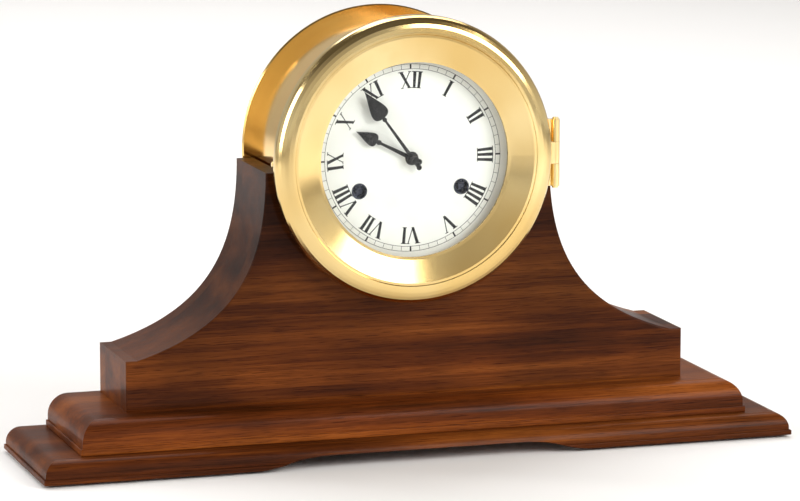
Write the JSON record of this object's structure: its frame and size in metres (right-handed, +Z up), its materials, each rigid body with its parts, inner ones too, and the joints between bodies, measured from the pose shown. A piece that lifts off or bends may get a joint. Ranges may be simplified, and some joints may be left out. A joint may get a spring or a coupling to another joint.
{
  "type": "mantel clock",
  "caption": "Striking mantel clock: a round brass drum with hinged glazed bezel, white Roman dial and spade hands, lying in the cradle of a stepped mahogany case with swept shoulders.",
  "frame": {"origin": "centre of the rectangle that the plinth covers, on the surface the clock stands on", "axes": "+Z up, +X to the right as one looks at the dial, +Y to the back of the clock"},
  "size_m": [0.6, 0.138, 0.34],
  "materials": {
    "mahogany": "solid mahogany, stained reddish brown and hand-rubbed to a gloss",
    "case_brass": "polished and lacquered brass",
    "felt": "thin green baize",
    "dial_white": "white dial, black printed hour ring",
    "glass": "clear flat glass",
    "hand_black": "black lacquered steel",
    "movement_brass": "brushed and lacquered brass",
    "steel": "fine-ground steel",
    "bell_metal": "turned bell bronze"
  },
  "bodies": {
    "case": {"plinth": "mahogany", "base_moulding": "mahogany", "front_board": "mahogany", "back_board": "mahogany", "left_core_block": "mahogany", "right_core_block": "mahogany", "base_screws": "steel", "feet": "felt", "cradle_felt": "felt", "drum_shell": "case_brass", "front_ring": "case_brass", "hinge_pin": "case_brass", "flange_screws": "case_brass", "dial": "dial_white", "dial_screws": "steel", "front_plate": "movement_brass", "back_plate": "movement_brass", "pillars": "movement_brass", "plate_screws": "steel", "case_screws": "steel", "balance_cock": "movement_brass", "bell": "bell_metal", "bell_post": "movement_brass"},
    "bezel_door": {"bezel": "case_brass", "glass": "glass", "glass_ring": "case_brass"},
    "catch": {"catch_button": "case_brass"},
    "centre_train": {"minute_hand": "hand_black", "hand_nut": "movement_brass", "cannon_pinion": "steel", "centre_wheel": "movement_brass"},
    "hour_train": {"hour_hand": "hand_black", "hour_wheel": "movement_brass"},
    "minute_wheel": {"minute_wheel": "movement_brass"},
    "intermediate_wheel": {"intermediate_wheel": "movement_brass"},
    "going_barrel": {"going_barrel": "movement_brass", "going_barrel_cover": "movement_brass", "going_mainspring": "steel"},
    "going_winder": {"going_winding_arbor": "steel", "going_ratchet": "steel"},
    "going_click": {"going_click": "steel"},
    "third_wheel": {"third_wheel": "movement_brass"},
    "fourth_wheel": {"fourth_wheel": "movement_brass"},
    "escape_wheel": {"escape_wheel": "movement_brass"},
    "pallet_lever": {"pallet_lever": "steel"},
    "balance": {"balance_wheel": "movement_brass", "hairspring": "steel"},
    "regulator": {"regulator_index": "steel"},
    "strike_barrel": {"strike_barrel": "movement_brass", "strike_barrel_cover": "movement_brass", "strike_mainspring": "steel"},
    "strike_winder": {"strike_winding_arbor": "steel", "strike_ratchet": "steel"},
    "strike_click": {"strike_click": "steel"},
    "strike_second_wheel": {"strike_second_wheel": "movement_brass"},
    "pin_wheel": {"pin_wheel": "movement_brass"},
    "warning_wheel": {"warning_wheel": "movement_brass"},
    "fly": {"fly": "movement_brass"},
    "hammer": {"hammer": "movement_brass"},
    "release_lever": {"release_lever": "steel"}
  },
  "joints": [
    {"name": "bezel_hinge", "type": "hinge", "parent": "case", "child": "bezel_door", "pos_m": [0.1155, -0.0301, 0.229], "axis": [0, 0, 1], "range_deg": [0, 110]},
    {"name": "catch_push", "type": "slide", "parent": "case", "child": "catch", "axis": [1, 0, 0], "range_m": [0, 0.0015], "stiffness_N_per_m": 400, "springref_m": -0.001},
    {"name": "minute_hand_turn", "type": "hinge", "parent": "case", "child": "centre_train", "pos_m": [0, 0.02, 0.229], "axis": [0, 1, 0], "continuous": true},
    {"name": "hour_hand_turn", "type": "hinge", "parent": "case", "child": "hour_train", "pos_m": [0, 0.02, 0.229], "axis": [0, 1, 0], "continuous": true},
    {"name": "minute_wheel_turn", "type": "hinge", "parent": "case", "child": "minute_wheel", "pos_m": [0.01379, 0.02, 0.23143], "axis": [0, 1, 0], "continuous": true},
    {"name": "intermediate_wheel_turn", "type": "hinge", "parent": "case", "child": "intermediate_wheel", "pos_m": [0.02086, 0.02, 0.24185], "axis": [0, 1, 0], "continuous": true},
    {"name": "going_barrel_turn", "type": "hinge", "parent": "case", "child": "going_barrel", "pos_m": [0.041, 0.02, 0.205], "axis": [0, 1, 0], "continuous": true},
    {"name": "third_wheel_turn", "type": "hinge", "parent": "case", "child": "third_wheel", "pos_m": [-0.00375, 0.02, 0.25027], "axis": [0, 1, 0], "continuous": true},
    {"name": "fourth_wheel_turn", "type": "hinge", "parent": "case", "child": "fourth_wheel", "pos_m": [0.00475, 0.02, 0.26499], "axis": [0, 1, 0], "continuous": true},
    {"name": "escape_wheel_turn", "type": "hinge", "parent": "case", "child": "escape_wheel", "pos_m": [0.00475, 0.02, 0.28039], "axis": [0, 1, 0], "continuous": true},
    {"name": "going_winding", "type": "hinge", "parent": "case", "child": "going_winder", "pos_m": [0.041, 0.02, 0.205], "axis": [0, 1, 0], "continuous": true},
    {"name": "going_click_lift", "type": "hinge", "parent": "case", "child": "going_click", "pos_m": [0.04596, 0.02, 0.21863], "axis": [0, 1, 0], "range_deg": [0, 20], "stiffness_Nm_per_rad": 0.002, "springref_deg": -5.73},
    {"name": "pallet_lever_rock", "type": "hinge", "parent": "case", "child": "pallet_lever", "pos_m": [0.00475, 0.02, 0.29019], "axis": [0, 1, 0], "range_deg": [-5, 5]},
    {"name": "balance_swing", "type": "hinge", "parent": "case", "child": "balance", "pos_m": [0.00475, 0.02, 0.30119], "axis": [0, 1, 0], "range_deg": [-140, 140], "stiffness_Nm_per_rad": 0.00014},
    {"name": "regulator_shift", "type": "hinge", "parent": "case", "child": "regulator", "pos_m": [0.00475, 0.02, 0.30119], "axis": [0, 1, 0], "range_deg": [-20, 20]},
    {"name": "pin_wheel_turn", "type": "hinge", "parent": "case", "child": "pin_wheel", "pos_m": [-0.02588, 0.02, 0.2697], "axis": [0, 1, 0], "continuous": true},
    {"name": "strike_barrel_turn", "type": "hinge", "parent": "case", "child": "strike_barrel", "pos_m": [-0.041, 0.02, 0.205], "axis": [0, 1, 0], "continuous": true},
    {"name": "strike_second_wheel_turn", "type": "hinge", "parent": "case", "child": "strike_second_wheel", "pos_m": [-0.03013, 0.02, 0.24557], "axis": [0, 1, 0], "continuous": true},
    {"name": "warning_wheel_turn", "type": "hinge", "parent": "case", "child": "warning_wheel", "pos_m": [-0.02921, 0.02, 0.2886], "axis": [0, 1, 0], "continuous": true},
    {"name": "fly_turn", "type": "hinge", "parent": "case", "child": "fly", "pos_m": [-0.043, 0.02, 0.28617], "axis": [0, 1, 0], "continuous": true},
    {"name": "strike_winding", "type": "hinge", "parent": "case", "child": "strike_winder", "pos_m": [-0.041, 0.02, 0.205], "axis": [0, 1, 0], "continuous": true},
    {"name": "strike_click_lift", "type": "hinge", "parent": "case", "child": "strike_click", "pos_m": [-0.04596, 0.02, 0.21863], "axis": [0, 1, 0], "range_deg": [-20, 0], "stiffness_Nm_per_rad": 0.002, "springref_deg": 5.73},
    {"name": "hammer_lift", "type": "hinge", "parent": "case", "child": "hammer", "pos_m": [-0.04905, 0.02, 0.26681], "axis": [0, 1, 0], "range_deg": [-15, 0]},
    {"name": "release_lever_lift", "type": "hinge", "parent": "case", "child": "release_lever", "pos_m": [-0.016, 0.02, 0.273], "axis": [0, 1, 0], "range_deg": [0, 8], "stiffness_Nm_per_rad": 0.01, "springref_deg": -5.73}
  ],
  "couplings": [
    {"joint": "hour_hand_turn", "follows": "minute_hand_turn", "ratio": 0.083333},
    {"joint": "minute_wheel_turn", "follows": "minute_hand_turn", "ratio": -0.33333},
    {"joint": "intermediate_wheel_turn", "follows": "minute_hand_turn", "ratio": -0.16667},
    {"joint": "going_barrel_turn", "follows": "minute_hand_turn", "ratio": 0.027778},
    {"joint": "third_wheel_turn", "follows": "minute_hand_turn", "ratio": -8},
    {"joint": "fourth_wheel_turn", "follows": "minute_hand_turn", "ratio": 60},
    {"joint": "escape_wheel_turn", "follows": "minute_hand_turn", "ratio": -600},
    {"joint": "strike_barrel_turn", "follows": "pin_wheel_turn", "ratio": 0.027778},
    {"joint": "strike_second_wheel_turn", "follows": "pin_wheel_turn", "ratio": -0.16667},
    {"joint": "warning_wheel_turn", "follows": "pin_wheel_turn", "ratio": -7},
    {"joint": "fly_turn", "follows": "pin_wheel_turn", "ratio": 42}
  ]
}
